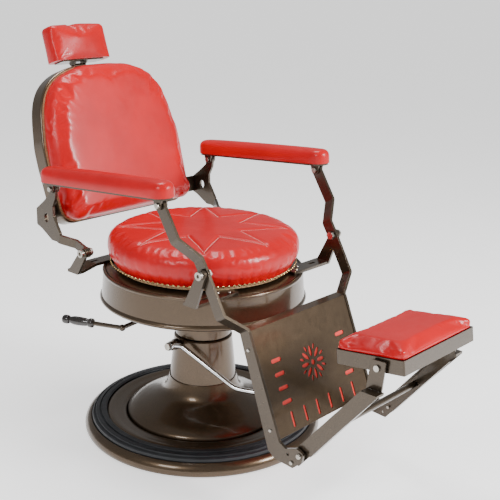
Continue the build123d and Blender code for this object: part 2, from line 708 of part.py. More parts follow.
def back_outline(inset):
    """The backrest's outline: a broad arch on tight lower corners."""
    wide = BACK_HALF_WIDTH - inset
    top = BACK_TOP - inset
    low = BACK_BOTTOM + inset
    with BuildSketch() as outline:
        with BuildLine():
            for side in (1, -1):
                Spline((0, top), (side * (wide - 126), top - 9), (side * (wide - 62), top - 44),
                       (side * (wide - 23), top - 107), (side * (wide - 5), top - 190),
                       (side * wide, top - 270), tangents=[(side, 0), (0, -1)])
                Line((side * wide, top - 270), (side * (wide - 4), low + 46))
                Spline((side * (wide - 4), low + 46), (side * (wide - 18), low + 12),
                       (side * (wide - 52), low), tangents=[(0, -1), (-side, 0)])
                Line((side * (wide - 52), low), (0, low))
        make_face()
    return outline.sketch


def make_backrest():
    """The steel shell, the board in it, the pad, and the brackets out to the links."""
    with BuildPart() as back_shell:
        with BuildSketch(back_plane(SHELL_REAR)):
            add(back_outline(0))
        extrude(amount=SHELL_FRONT - SHELL_REAR)
        fillet(back_shell.faces().sort_by(Axis.Y)[-1].edges(), 6)
        with BuildSketch(back_plane(SHELL_REAR + 3)):
            add(back_outline(3))
        extrude(amount=SHELL_FRONT - SHELL_REAR, mode=Mode.SUBTRACT)
    back_shell.part.label = "back_shell"
    export_step(back_shell.part, "parts/back_shell.step")

    with BuildPart() as back_board:
        with BuildSketch(back_plane(SHELL_FRONT - 14)):
            add(back_outline(4))
        extrude(amount=13.8)
    back_board.part.label = "back_board"
    export_step(back_board.part, "parts/back_board.step")

    with BuildPart() as back_pad:
        with BuildSketch(back_plane(SHELL_FRONT + 0.3)):
            add(back_outline(1))
        extrude(amount=50)
        fillet(back_pad.faces().sort_by(Axis.Y)[0].edges(), 24)
    back_pad.part.label = "back_pad"
    export_step(back_pad.part, "parts/back_pad.step")

    with BuildPart() as back_brackets:
        for side in SIDES.values():
            with BuildSketch(Plane(origin=(0, sin(radians(BACK_LEAN)) * 642,
                                           cos(radians(BACK_LEAN)) * 642),
                                   x_dir=(1, 0, 0),
                                   z_dir=(0, sin(radians(BACK_LEAN)), cos(radians(BACK_LEAN))))):
                with BuildLine():
                    outline, radii = bar_outline(
                        [(side * (BACK_HALF_WIDTH + 3), -SHELL_REAR - 6),
                         (side * (BACK_HALF_WIDTH + 3), -SHELL_FRONT + 9),
                         (side * (ARM_X - 4.2), -SHELL_FRONT + 9)], 5, 3)
                    FilletPolyline(*outline, radius=radii, close=True)
                make_face()
            extrude(amount=46)
    back_brackets.part.label = "back_brackets"
    export_step(back_brackets.part, "parts/back_brackets.step")


# ---- headrest ----
POST_REAR = -196.0
POST_THICKNESS = 8.0
POST_HALF_WIDTH = 17.0
TILT_HEIGHT = 1069.0
TILT_DEPTH = POST_REAR + POST_THICKNESS / 2
HEADREST_BOTTOM = 1078.0


def back_point(height, depth):
    """The (y, z) of a point at this height and depth in the backrest's frame."""
    lean = radians(BACK_LEAN)
    return (sin(lean) * height - cos(lean) * depth, cos(lean) * height + sin(lean) * depth)


def make_headrest():
    """The post in its holder behind the shell, and the tilting headrest on top of it."""
    gap = RUNNING_GAP * 2
    with BuildPart() as headrest_holder:
        with BuildSketch(back_plane(SHELL_REAR)):
            with Locations((0, 900)):
                RectangleRounded(76, 92, 6)
        extrude(amount=POST_REAR - SHELL_REAR - 6)
        with BuildSketch(back_plane(POST_REAR - gap)):
            with Locations((0, 900)):
                Rectangle(2 * (POST_HALF_WIDTH + gap), 120)
        extrude(amount=POST_THICKNESS + 2 * gap, mode=Mode.SUBTRACT)
    headrest_holder.part.label = "headrest_holder"
    export_step(headrest_holder.part, "parts/headrest_holder.step")

    knob_plane = back_plane(POST_REAR - 6.1)
    with BuildPart() as holder_knob:
        with BuildSketch(knob_plane):
            with Locations((0, 900)):
                Circle(9)
        extrude(amount=-8)
        with BuildSketch(back_plane(POST_REAR - 14)):
            with Locations((0, 900)):
                Circle(17)
                with PolarLocations(19.5, 6):
                    Circle(5.5, mode=Mode.SUBTRACT)
        extrude(amount=-14)
    holder_knob.part.label = "holder_knob"
    export_step(holder_knob.part, "parts/holder_knob.step")

    tilt_axis = back_point(TILT_HEIGHT, TILT_DEPTH)
    with BuildPart() as headrest_post:
        with BuildSketch(back_plane(POST_REAR)):
            with Locations((0, 920)):
                Rectangle(2 * POST_HALF_WIDTH, 296)
        extrude(amount=POST_THICKNESS)
        with BuildSketch(side_plane(-POST_HALF_WIDTH)):
            with Locations(tilt_axis):
                Circle(6.5)
        extrude(amount=2 * POST_HALF_WIDTH)
        with BuildSketch(side_plane(-POST_HALF_WIDTH - 1)):
            with Locations(tilt_axis):
                Circle(3 + RUNNING_GAP)
        extrude(amount=2 * POST_HALF_WIDTH + 2, mode=Mode.SUBTRACT)
    headrest_post.part.label = "headrest_post"
    export_step(headrest_post.part, "parts/headrest_post.step")

    with BuildPart() as headrest_bracket:
        for side in SIDES.values():
            with BuildSketch(side_plane(side * (POST_HALF_WIDTH + 0.8))):
                with BuildLine():
                    Polyline(back_point(TILT_HEIGHT, TILT_DEPTH - 7),
                             back_point(TILT_HEIGHT, TILT_DEPTH + 7),
                             back_point(HEADREST_BOTTOM, TILT_DEPTH + 20),
                             back_point(HEADREST_BOTTOM, TILT_DEPTH - 14), close=True)
                make_face()
                with Locations(tilt_axis):
                    Circle(7)
            extrude(amount=side * 4)
        with BuildSketch(side_plane(-POST_HALF_WIDTH - 8)):
            with Locations(tilt_axis):
                Circle(3)
        extrude(amount=2 * POST_HALF_WIDTH + 16)
        with BuildSketch(Plane(origin=(0, *back_point(HEADREST_BOTTOM, TILT_DEPTH + 8)),
                               x_dir=(1, 0, 0),
                               z_dir=(0, sin(radians(BACK_LEAN)), cos(radians(BACK_LEAN))))):
            RectangleRounded(150, 44, 5)
        extrude(amount=3)
    headrest_bracket.part.label = "headrest_bracket"
    export_step(headrest_bracket.part, "parts/headrest_bracket.step")

    with BuildPart() as headrest_pad:
        with BuildSketch(Plane(origin=(0, *back_point(HEADREST_BOTTOM + 3.2, -181.5)),
                               x_dir=(1, 0, 0),
                               z_dir=(0, sin(radians(BACK_LEAN)), cos(radians(BACK_LEAN))))):
            RectangleRounded(200, 63, 20)
        extrude(amount=103)
        fillet(headrest_pad.faces().sort_by(Axis.Z)[-1].edges(), 14)
    headrest_pad.part.label = "headrest_pad"
    export_step(headrest_pad.part, "parts/headrest_pad.step")


# ---- front levers and legrest panel ----
def make_front_levers():
    """The bent levers: armrest to seat pivot to panel, ending in an ear for the footrest."""
    arm_reach = hypot(ARM_FRONT[0] - FRONT_PIVOT[0], ARM_FRONT[1] - FRONT_PIVOT[1])
    leg_reach = hypot(PANEL_TOP[0] - FRONT_PIVOT[0], PANEL_TOP[1] - FRONT_PIVOT[1])
    upper_path = [(LEVER_X, -4), (LEVER_X, 38), (ARM_X, 94), (ARM_X, arm_reach)]
    lower_path = [(LEVER_X, -4), (LEVER_X, leg_reach - 50), (LEG_BAR_X, leg_reach - 2),
                  (LEG_BAR_X, leg_reach + 8)]
    for name, side in SIDES.items():
        with BuildPart() as front_lever:
            for tip, path in ((ARM_FRONT, upper_path), (PANEL_TOP, lower_path)):
                outline, radii = bar_outline([(side * x, s) for x, s in path], BAR_THICKNESS, 5)
                plane = bar_plane(FRONT_PIVOT, tip)
                with BuildSketch(plane):
                    with BuildLine():
                        FilletPolyline(*outline, radius=radii, close=True)
                    make_face()
                extrude(amount=BAR_WIDTH / 2, both=True)
            with BuildSketch(side_plane(side * ARM_X)):
                with Locations(ARM_FRONT):
                    Circle(13.5)
            extrude(amount=BAR_THICKNESS / 2, both=True)
            with BuildSketch(side_plane(side * LEVER_X)):
                with Locations(FRONT_PIVOT):
                    Circle(16)
            extrude(amount=BAR_THICKNESS / 2, both=True)
            with BuildSketch(side_plane(side * LEG_BAR_X)):
                with BuildLine():
                    FilletPolyline((-314, 406), (-341, 421), (-446, 168), (-466, 158), (-500, 171),
                                   (-521, 162), (-516, 140), (-490, 116), (-432, 120), (-412, 136),
                                   radius=5, close=True)
                make_face()
            extrude(amount=BAR_THICKNESS / 2, both=True)
            for x, spot, radius in ((ARM_X, ARM_FRONT, ARM_BOLT_RADIUS + ARM_PIVOT_SLACK),
                                    (LEVER_X, FRONT_PIVOT, PIVOT_BOLT_RADIUS + RUNNING_GAP),
                                    (LEG_BAR_X, FOOT_PIVOT, 4.1), (LEG_BAR_X, (-474.0, 147.0), 4),
                                    (LEG_BAR_X, STOP_SPOT, 3.1)):
                with BuildSketch(side_plane(side * x)):
                    with Locations(spot):
                        Circle(radius)
                extrude(amount=BAR_THICKNESS, both=True, mode=Mode.SUBTRACT)
            with BuildSketch(side_plane(side * LEG_BAR_X)):
                with Locations(*PANEL_SCREW_SPOTS):
                    Circle(2.6)
            extrude(amount=BAR_THICKNESS, both=True, mode=Mode.SUBTRACT)
        front_lever.part.label = f"front_lever_{name}"
        export_step(front_lever.part, f"parts/front_lever_{name}.step")


STOP_SPOT = (-486.0, 129.0)
PANEL_SCREW_SPOTS = ((-342.0, 371.0), (-418.0, 188.0))
SHEET = 2.5
FLANGE = 26.0
SLOT_PITCH = 48.6


def make_panel():
    """The folded panel with its slots and a rosette, and the red sheet behind it."""
    with BuildPart() as leg_panel:
        with BuildSketch(panel_plane(-SHEET)):
            with Locations((0, -PANEL_HEIGHT / 2)):
                Rectangle(2 * PANEL_HALF_WIDTH, PANEL_HEIGHT)
            for row in range(4):
                with Locations((-125, -89 - 34.6 * row), (125, -89 - 34.6 * row)):
                    SlotOverall(36, 10, mode=Mode.SUBTRACT)
            for column in range(6):
                with Locations(((column - 2.5) * SLOT_PITCH, -238)):
                    SlotOverall(40, 8, rotation=90, mode=Mode.SUBTRACT)
            with Locations((0, -130)):
                Circle(7, mode=Mode.SUBTRACT)
                with PolarLocations(29, 8):
                    Ellipse(14, 5, mode=Mode.SUBTRACT)
                with PolarLocations(40, 8, start_angle=22.5):
                    Ellipse(8, 3.2, mode=Mode.SUBTRACT)
        extrude(amount=SHEET)
        for side in SIDES.values():
            with BuildSketch(panel_plane(-FLANGE)):
                with Locations((side * (PANEL_HALF_WIDTH - SHEET / 2), -PANEL_HEIGHT / 2)):
                    Rectangle(SHEET, PANEL_HEIGHT)
            extrude(amount=FLANGE - SHEET / 2)
        with BuildSketch(side_plane(-PANEL_HALF_WIDTH)):
            with BuildLine():
                Polyline(PANEL_CORNER, (PANEL_CORNER[0] + FLANGE, PANEL_CORNER[1] + 1),
                         (PANEL_CORNER[0] + FLANGE, PANEL_CORNER[1] - SHEET + 1),
                         (PANEL_CORNER[0] + 1, PANEL_CORNER[1] - SHEET - 1), close=True)
            make_face()
        extrude(amount=2 * PANEL_HALF_WIDTH)
        with BuildSketch(side_plane(-PANEL_HALF_WIDTH - 1)):
            with Locations(*PANEL_SCREW_SPOTS):
                Circle(2.6)
        extrude(amount=2 * PANEL_HALF_WIDTH + 2, mode=Mode.SUBTRACT)
    leg_panel.part.label = "leg_panel"
    export_step(leg_panel.part, "parts/leg_panel.step")

    with BuildPart() as panel_backing:
        with BuildSketch(panel_plane(-SHEET - 1.2)):
            with Locations((0, -PANEL_HEIGHT / 2 - 2)):
                Rectangle(2 * PANEL_HALF_WIDTH - 8, PANEL_HEIGHT - 12)
        extrude(amount=1.2)
    panel_backing.part.label = "panel_backing"
    export_step(panel_backing.part, "parts/panel_backing.step")

    outer = LEG_BAR_X + BAR_THICKNESS / 2
    inner = PANEL_HALF_WIDTH - SHEET - 4
    with BuildPart() as leg_screws:
        for side in SIDES.values():
            with BuildSketch(side_plane(side * inner)):
                with Locations(*PANEL_SCREW_SPOTS):
                    Circle(2.5)
            extrude(amount=side * (outer - inner))
            with BuildSketch(side_plane(side * outer)):
                with Locations(*PANEL_SCREW_SPOTS):
                    Circle(4.6)
            extrude(amount=side * 2.6, taper=20)
            with BuildSketch(side_plane(side * (FOOT_ARM_X - 8))):
                with Locations(FOOT_PIVOT):
                    Circle(4)
            extrude(amount=side * (outer - FOOT_ARM_X + 8))
            with BuildSketch(side_plane(side * outer)):
                with Locations(FOOT_PIVOT):
                    Circle(7)
            extrude(amount=side * 4.5, taper=12)
            with BuildSketch(side_plane(side * (LEG_BAR_X - 4))):
                with Locations(STOP_SPOT):
                    Circle(3)
            extrude(amount=side * 8)
            with BuildSketch(side_plane(side * outer)):
                with Locations(STOP_SPOT):
                    Circle(5.5)
            extrude(amount=side * 3.5, taper=12)
    leg_screws.part.label = "leg_screws"
    export_step(leg_screws.part, "parts/leg_screws.step")


# ---- footrest ----
def make_foot_frame():
    """Two channel arms from the ears up to short uprights, and the tube between the arms."""
    reach = hypot(FOOT_ELBOW[0] - FOOT_PIVOT[0], FOOT_ELBOW[1] - FOOT_PIVOT[1])
    plane = bar_plane(FOOT_PIVOT, FOOT_ELBOW)
    web = FOOT_ARM_X - FOOT_ARM_SHEET / 2
    for name, side in SIDES.items():
        with BuildPart() as foot_arm:
            with BuildSketch(side_plane(side * web)):
                with BuildLine():
                    FilletPolyline((-497, 173), (-486, 152), (-497, 118), (-703, 362), (-703, 368),
                                   (-661, 368), radius=2, close=True)
                make_face()
                with Locations(FOOT_PIVOT):
                    Circle(4 + RUNNING_GAP, mode=Mode.SUBTRACT)
            extrude(amount=side * FOOT_ARM_SHEET)
            for height in (-17.5, 14.5):
                with BuildSketch(plane.offset(height)):
                    with Locations((side * (FOOT_ARM_X - 7), reach / 2 - 3)):
                        Rectangle(18, reach - 38)
                extrude(amount=3)
            with BuildSketch(side_plane(side * (UPRIGHT_X - 2))):
                with BuildLine():
                    Polyline((-703, 362), (-661, 362), (-661, 368), (-703, 368), close=True)
                make_face()
            extrude(amount=side * (web - UPRIGHT_X + 4))
            with BuildSketch(side_plane(side * (UPRIGHT_X - 2))):
                with BuildLine():
                    FilletPolyline((-698, 363), (-657, 363), (-668, 438), (-706, 440),
                                   radius=3, close=True)
                make_face()
                with Locations(FLIP_PIVOT):
                    Circle(5 + RUNNING_GAP, mode=Mode.SUBTRACT)
            extrude(amount=side * FOOT_ARM_SHEET)
        foot_arm.part.label = f"foot_arm_{name}"
        export_step(foot_arm.part, f"parts/foot_arm_{name}.step")

    middle = (FOOT_PIVOT[0] + 0.42 * (FOOT_ELBOW[0] - FOOT_PIVOT[0]),
              FOOT_PIVOT[1] + 0.42 * (FOOT_ELBOW[1] - FOOT_PIVOT[1]))
    with BuildPart() as foot_stretcher:
        with BuildSketch(side_plane(-web)):
            with Locations(middle):
                Circle(8)
                Circle(6, mode=Mode.SUBTRACT)
        extrude(amount=2 * web)
    foot_stretcher.part.label = "foot_stretcher"
    export_step(foot_stretcher.part, "parts/foot_stretcher.step")


FOOT_ARM_SHEET = 4.0
TRAY_LOW = -11.0
TRAY_HIGH = TRAY_LOW + TRAY_DEPTH
TRAY_MIDDLE = 27.0
TRAY_WALL = 2.5


def make_footrest():
    """The reversible footrest: a steel tray, its pad and the two pivot screws."""
    with BuildPart() as footrest_tray:
        with BuildSketch(footrest_plane(TRAY_LOW)):
            with Locations((0, TRAY_MIDDLE)):
                RectangleRounded(FOOTREST_WIDTH, FOOTREST_DEPTH, 4)
        extrude(amount=TRAY_DEPTH)
        with BuildSketch(footrest_plane(TRAY_LOW + TRAY_WALL)):
            with Locations((0, TRAY_MIDDLE)):
                RectangleRounded(FOOTREST_WIDTH - 2 * TRAY_WALL, FOOTREST_DEPTH - 2 * TRAY_WALL, 2)
        extrude(amount=TRAY_DEPTH, mode=Mode.SUBTRACT)
        with BuildSketch(side_plane(-FOOTREST_WIDTH)):
            with Locations(FLIP_PIVOT):
                Circle(5)
        extrude(amount=2 * FOOTREST_WIDTH, mode=Mode.SUBTRACT)
    footrest_tray.part.label = "footrest_tray"
    export_step(footrest_tray.part, "parts/footrest_tray.step")

    with BuildPart() as footrest_pad:
        with BuildSketch(footrest_plane(TRAY_HIGH + 0.2)):
            with Locations((0, TRAY_MIDDLE)):
                RectangleRounded(FOOTREST_WIDTH + 2, FOOTREST_DEPTH + 2, 12)
        extrude(amount=24)
        fillet(footrest_pad.faces().sort_by(Axis.Z)[-1].edges(), 11)
    footrest_pad.part.label = "footrest_pad"
    export_step(footrest_pad.part, "parts/footrest_pad.step")

    with BuildPart() as footrest_screws:
        for side in SIDES.values():
            with BuildSketch(side_plane(side * (FOOTREST_WIDTH / 2 - 8))):
                with Locations(FLIP_PIVOT):
                    Circle(5)
            extrude(amount=side * 20)
            with BuildSketch(side_plane(side * (UPRIGHT_X + FOOT_ARM_SHEET / 2 + 0.5))):
                with Locations(FLIP_PIVOT):
                    Circle(8)
            extrude(amount=side * 4, taper=10)
            with BuildSketch(side_plane(side * (FOOTREST_WIDTH / 2))):
                with Locations(FLIP_PIVOT):
                    Circle(8)
            extrude(amount=side * 4.4)
            with BuildSketch(side_plane(side * (FOOTREST_WIDTH / 2 - TRAY_WALL))):
                with Locations(FLIP_PIVOT):
                    RegularPolygon(8, 6)
            extrude(amount=-side * 5)
    footrest_screws.part.label = "footrest_screws"
    export_step(footrest_screws.part, "parts/footrest_screws.step")


# ---- armrests ----
def make_armrests():
    """Each armrest: a plate with two clevises under it, and its pad."""
    reach = hypot(ARM_FRONT[0] - ARM_REAR[0], ARM_FRONT[1] - ARM_REAR[1]) / 2
    for name, side in SIDES.items():
        with BuildPart() as armrest_plate:
            with BuildSketch(armrest_plane(side, ARM_PLATE_LOW)):
                with Locations((3, 0)):
                    RectangleRounded(2 * reach + 58, 52, 24)
            extrude(amount=ARM_PLATE_THICKNESS)
            for pivot, u in ((ARM_FRONT, reach), (ARM_REAR, -reach)):
                for offset in (-LUG_MIDDLE, LUG_MIDDLE):
                    with BuildSketch(side_plane(side * ARM_X + offset)):
                        with BuildLine():
                            Polyline(arm_point(u - 10, -3), arm_point(u + 10, -3),
                                     arm_point(u + 15, ARM_PLATE_LOW + 1),
                                     arm_point(u - 15, ARM_PLATE_LOW + 1), close=True)
                        make_face()
                        with Locations(pivot):
                            Circle(11)
                    extrude(amount=LUG_THICKNESS / 2, both=True)
            for pivot, slack in ((ARM_FRONT, ARM_PIVOT_SLACK), (ARM_REAR, RUNNING_GAP)):
                with BuildSketch(side_plane(side * ARM_X)):
                    with Locations(pivot):
                        Circle(ARM_BOLT_RADIUS + slack)
                extrude(amount=20, both=True, mode=Mode.SUBTRACT)
        armrest_plate.part.label = f"armrest_plate_{name}"
        export_step(armrest_plate.part, f"parts/armrest_plate_{name}.step")

        with BuildPart() as armrest_pad:
            with BuildSketch(armrest_plane(side, ARM_PLATE_LOW + ARM_PLATE_THICKNESS + 0.2)):
                with Locations((3, 0)):
                    RectangleRounded(2 * reach + 70, 64, 31)
            extrude(amount=ARM_PAD_THICKNESS)
            fillet(armrest_pad.faces().sort_by(Axis.Z)[-1].edges(), 20)
        armrest_pad.part.label = f"armrest_pad_{name}"
        export_step(armrest_pad.part, f"parts/armrest_pad_{name}.step")


def make_arm_bolts():
    """A bolt and nut through each clevis of each armrest."""
    end = LUG_MIDDLE + LUG_THICKNESS / 2 + 0.4
    for name, side in SIDES.items():
        with BuildPart() as arm_bolts:
            with BuildSketch(side_plane(side * (ARM_X - end - 5))):
                with Locations(ARM_FRONT, ARM_REAR):
                    Circle(ARM_BOLT_RADIUS)
            extrude(amount=side * (2 * end + 6))
            with BuildSketch(side_plane(side * (ARM_X + end))):
                with Locations(ARM_FRONT, ARM_REAR):
                    Circle(7.5)
            extrude(amount=side * 4.5, taper=12)
            with BuildSketch(side_plane(side * (ARM_X - end))):
                with Locations(ARM_FRONT, ARM_REAR):
                    RegularPolygon(7.8, 6)
            extrude(amount=-side * 4.5)
        arm_bolts.part.label = f"arm_bolts_{name}"
        export_step(arm_bolts.part, f"parts/arm_bolts_{name}.step")


LUG_THICKNESS = 5.0
LUG_MIDDLE = 8.0

make_base_plate()
make_base_pan()
make_rubber_ring()
make_pedestal()
make_cylinder()
make_pump()
make_piston()
make_swivel_hub()
make_bowl()
make_seat_frame()
make_seat_plate()
make_brackets("front_brackets", FRONT_PIVOT, -210.0, FRONT_BRACKET_X,
              [(108, 467), (FRONT_BRACKET_X + 4, 467)])
make_brackets("rear_brackets", REAR_PIVOT, 212.0, REAR_BRACKET_X,
              [(108, 467), (215, 467), (260, 457), (REAR_BRACKET_X + 4, 457)])
make_pivot_bolts()
make_cushion()
make_nails()
make_handle()
make_rear_links()
make_backrest()
make_headrest()
make_front_levers()
make_panel()
make_foot_frame()
make_footrest()
make_armrests()
make_arm_bolts()
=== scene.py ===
import bmesh
import bpy
import json
import math
from mathutils import Matrix, Vector


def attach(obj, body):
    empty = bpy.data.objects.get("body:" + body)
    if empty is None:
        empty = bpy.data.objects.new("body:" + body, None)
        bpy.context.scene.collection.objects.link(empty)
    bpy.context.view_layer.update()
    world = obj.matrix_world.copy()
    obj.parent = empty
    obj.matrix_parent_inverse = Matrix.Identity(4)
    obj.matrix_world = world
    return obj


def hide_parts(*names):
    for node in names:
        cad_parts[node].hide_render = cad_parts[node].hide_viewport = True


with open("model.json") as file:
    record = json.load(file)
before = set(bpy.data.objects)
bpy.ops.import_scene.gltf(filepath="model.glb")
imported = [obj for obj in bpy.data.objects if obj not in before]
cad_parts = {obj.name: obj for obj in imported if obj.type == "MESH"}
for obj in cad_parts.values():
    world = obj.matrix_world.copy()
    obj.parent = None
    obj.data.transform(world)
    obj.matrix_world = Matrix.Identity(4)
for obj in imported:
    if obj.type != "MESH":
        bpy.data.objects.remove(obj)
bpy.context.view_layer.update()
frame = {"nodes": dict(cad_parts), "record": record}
nodes = frame["nodes"]
scene = bpy.context.scene


# ---- materials ----
class Shader:
    """A node material built round one Principled shader, on object coordinates in metres."""

    def __init__(self, name, colour, roughness, metallic=0.0, coat=0.0, coat_roughness=0.08):
        self.material = bpy.data.materials.new(name)
        self.material.use_nodes = True
        self.tree = self.material.node_tree
        self.bsdf = self.tree.nodes["Principled BSDF"]
        self.bsdf.inputs["Base Color"].default_value = (*colour, 1)
        self.bsdf.inputs["Roughness"].default_value = roughness
        self.bsdf.inputs["Metallic"].default_value = metallic
        self.bsdf.inputs["Coat Weight"].default_value = coat
        self.bsdf.inputs["Coat Roughness"].default_value = coat_roughness
        self.place = self.tree.nodes.new("ShaderNodeTexCoord").outputs["Object"]
        self.normal = None

    def node(self, kind, **values):
        made = self.tree.nodes.new(kind)
        for name, value in values.items():
            if name in made.inputs:
                made.inputs[name].default_value = value
            else:
                setattr(made, name, value)
        return made

    def link(self, source, target):
        self.tree.links.new(source, target)

    def noise(self, scale, detail=3.0, stretch=None):
        made = self.node("ShaderNodeTexNoise", Scale=scale, Detail=detail)
        place = self.place
        if stretch:
            mapping = self.node("ShaderNodeMapping", Scale=stretch)
            self.link(place, mapping.inputs["Vector"])
            place = mapping.outputs["Vector"]
        self.link(place, made.inputs["Vector"])
        return made.outputs["Fac"]

    def voronoi(self, scale, feature="F1"):
        made = self.node("ShaderNodeTexVoronoi", feature=feature, Scale=scale)
        self.link(self.place, made.inputs["Vector"])
        return made.outputs["Distance"]

    def ramp(self, factor, low, high, start=0.3, end=0.7):
        made = self.node("ShaderNodeValToRGB")
        made.color_ramp.elements[0].position = start
        made.color_ramp.elements[0].color = (*low, 1)
        made.color_ramp.elements[1].position = end
        made.color_ramp.elements[1].color = (*high, 1)
        self.link(factor, made.inputs["Fac"])
        return made.outputs["Color"]

    def colour(self, factor, low, high, start=0.3, end=0.7):
        self.link(self.ramp(factor, low, high, start, end), self.bsdf.inputs["Base Color"])
        return self

    def roughness(self, factor, low, high):
        made = self.node("ShaderNodeMapRange")
        made.inputs["To Min"].default_value = low
        made.inputs["To Max"].default_value = high
        self.link(factor, made.inputs["Value"])
        self.link(made.outputs["Result"], self.bsdf.inputs["Roughness"])
        return self

    def edges(self, radius):
        made = self.node("ShaderNodeBevel", samples=4)
        made.inputs["Radius"].default_value = radius
        self.normal = made.outputs["Normal"]
        self.link(self.normal, self.bsdf.inputs["Normal"])
        self.link(self.normal, self.bsdf.inputs["Coat Normal"])
        return self

    def bump(self, height, distance, strength=1.0, invert=False):
        made = self.node("ShaderNodeBump", Strength=strength, Distance=distance)
        made.invert = invert
        self.link(height, made.inputs["Height"])
        if self.normal:
            self.link(self.normal, made.inputs["Normal"])
        self.normal = made.outputs["Normal"]
        self.link(self.normal, self.bsdf.inputs["Normal"])
        return self


def vinyl(name, low, high):
    """Glossy upholstery vinyl: fine pebbled grain, soft waves of the foam, slight mottling."""
    made = Shader(name, high, 0.3, coat=0.12, coat_roughness=0.1)
    made.bsdf.inputs["Specular IOR Level"].default_value = 0.32
    made.colour(made.noise(9, 4), low, high)
    made.roughness(made.noise(40, 4), 0.26, 0.42)
    made.bump(made.noise(16, 1), 0.001, 0.5)
    made.bump(made.voronoi(1100), 0.00016, 0.5, invert=True)
    return made


def paint(name, low, high, metallic, roughness, edge=0.0011):
    """Metallic powder paint: glints in a smooth gloss coat over a faint orange peel."""
    made = Shader(name, high, roughness, metallic=metallic, coat=0.55, coat_roughness=0.1)
    made.edges(edge)
    made.colour(made.noise(1500, 2), low, high, 0.35, 0.68)
    made.roughness(made.noise(60, 3), roughness - 0.05, roughness + 0.08)
    made.bump(made.noise(420, 2), 0.00012, 0.5)
    return made


def plated(name, colour, dark, roughness, stretch=(1, 1, 1), edge=0.0008):
    """Plated or bare bright metal, with fine marks and a little tarnish."""
    made = Shader(name, colour, roughness, metallic=1.0)
    made.edges(edge)
    made.colour(made.noise(55, 5, stretch), dark, colour, 0.3, 0.6)
    made.roughness(made.noise(240, 4, stretch), roughness * 0.75, roughness * 1.35)
    made.bump(made.noise(900, 3, stretch), 0.00006, 0.4)
    return made


red_vinyl = vinyl("red_vinyl", (0.47, 0.0003, 0.003), (0.58, 0.0005, 0.005))
bronze_paint = paint("bronze_paint", (0.052, 0.033, 0.018), (0.140, 0.092, 0.052), 0.8, 0.3)
dark_paint = paint("dark_bronze_paint", (0.040, 0.028, 0.018), (0.100, 0.074, 0.048), 0.8, 0.28)
chrome = plated("chrome", (0.84, 0.85, 0.86), (0.72, 0.73, 0.74), 0.09)
steel = plated("bright_steel", (0.50, 0.47, 0.42), (0.34, 0.31, 0.27), 0.28)
brass = plated("brass", (0.80, 0.58, 0.26), (0.56, 0.38, 0.15), 0.2)
cast = Shader("cast_iron", (0.1, 0.1, 0.105), 0.62, metallic=0.75)
cast.colour(cast.noise(90, 5), (0.05, 0.05, 0.052), (0.13, 0.13, 0.135))
cast.bump(cast.noise(500, 4), 0.0006)
primer = Shader("raw_steel", (0.06, 0.06, 0.065), 0.5, metallic=0.4)
primer.colour(primer.noise(40, 4), (0.035, 0.035, 0.038), (0.07, 0.07, 0.075))
primer.bump(primer.noise(600), 0.0002)
rubber = Shader("black_rubber", (0.012, 0.013, 0.016), 0.42)
rubber.colour(rubber.noise(30, 4), (0.008, 0.009, 0.011), (0.022, 0.024, 0.029))
rubber.roughness(rubber.noise(90, 4), 0.32, 0.55)
rubber.bump(rubber.noise(700, 3), 0.00015, 0.6)
wood = Shader("plywood", (0.5, 0.32, 0.17), 0.6)
wood.colour(wood.noise(14, 5, (1, 1, 30)), (0.34, 0.2, 0.09), (0.58, 0.4, 0.22))
wood.bump(wood.noise(150, 4, (1, 1, 9)), 0.0003)
red_sheet = Shader("red_sheet", (0.75, 0.03, 0.02), 0.38)
red_sheet.colour(red_sheet.noise(12, 3), (0.62, 0.02, 0.014), (0.82, 0.045, 0.03))
red_sheet.bump(red_sheet.noise(800), 0.0001)
plastic = Shader("black_plastic", (0.02, 0.02, 0.02), 0.4)
plastic.colour(plastic.noise(40, 3), (0.012, 0.012, 0.012), (0.03, 0.03, 0.03))
plastic.bump(plastic.noise(900), 0.00015)
gloss = Shader("gloss_black", (0.02, 0.016, 0.015), 0.18, coat=0.5)
gloss.colour(gloss.noise(20, 3), (0.012, 0.01, 0.009), (0.035, 0.028, 0.025))
gloss.bump(gloss.noise(300), 0.0001)
thread = Shader("thread", (0.85, 0.55, 0.5), 0.7)
thread.colour(thread.noise(700, 3), (0.62, 0.30, 0.27), (0.92, 0.70, 0.64))
thread.bump(thread.noise(2500), 0.0002)

FINISHES = {
    "bronze_paint": bronze_paint, "dark_bronze_paint": dark_paint, "red_vinyl": red_vinyl,
    "black_rubber": rubber, "chrome": chrome, "bright_steel": steel, "cast_iron": cast,
    "raw_steel": primer, "plywood": wood, "red_sheet": red_sheet, "dark_gloss": gloss,
    "black_plastic": plastic, "brass": brass,
}
for part in frame["record"]["subparts"]:
    for place in nodes[part["node"]].material_slots:
        place.material = FINISHES[part["material_slot"]].material


# ---- pads and cushions ----
PRESSURE = 4.0
FRAMES = 20
HEM_DROP = 0.014


def settle(made, body):
    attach(made, body)


def evaluated_mesh(obj):
    graph = bpy.context.evaluated_depsgraph_get()
    return bpy.data.meshes.new_from_object(obj.evaluated_get(graph))


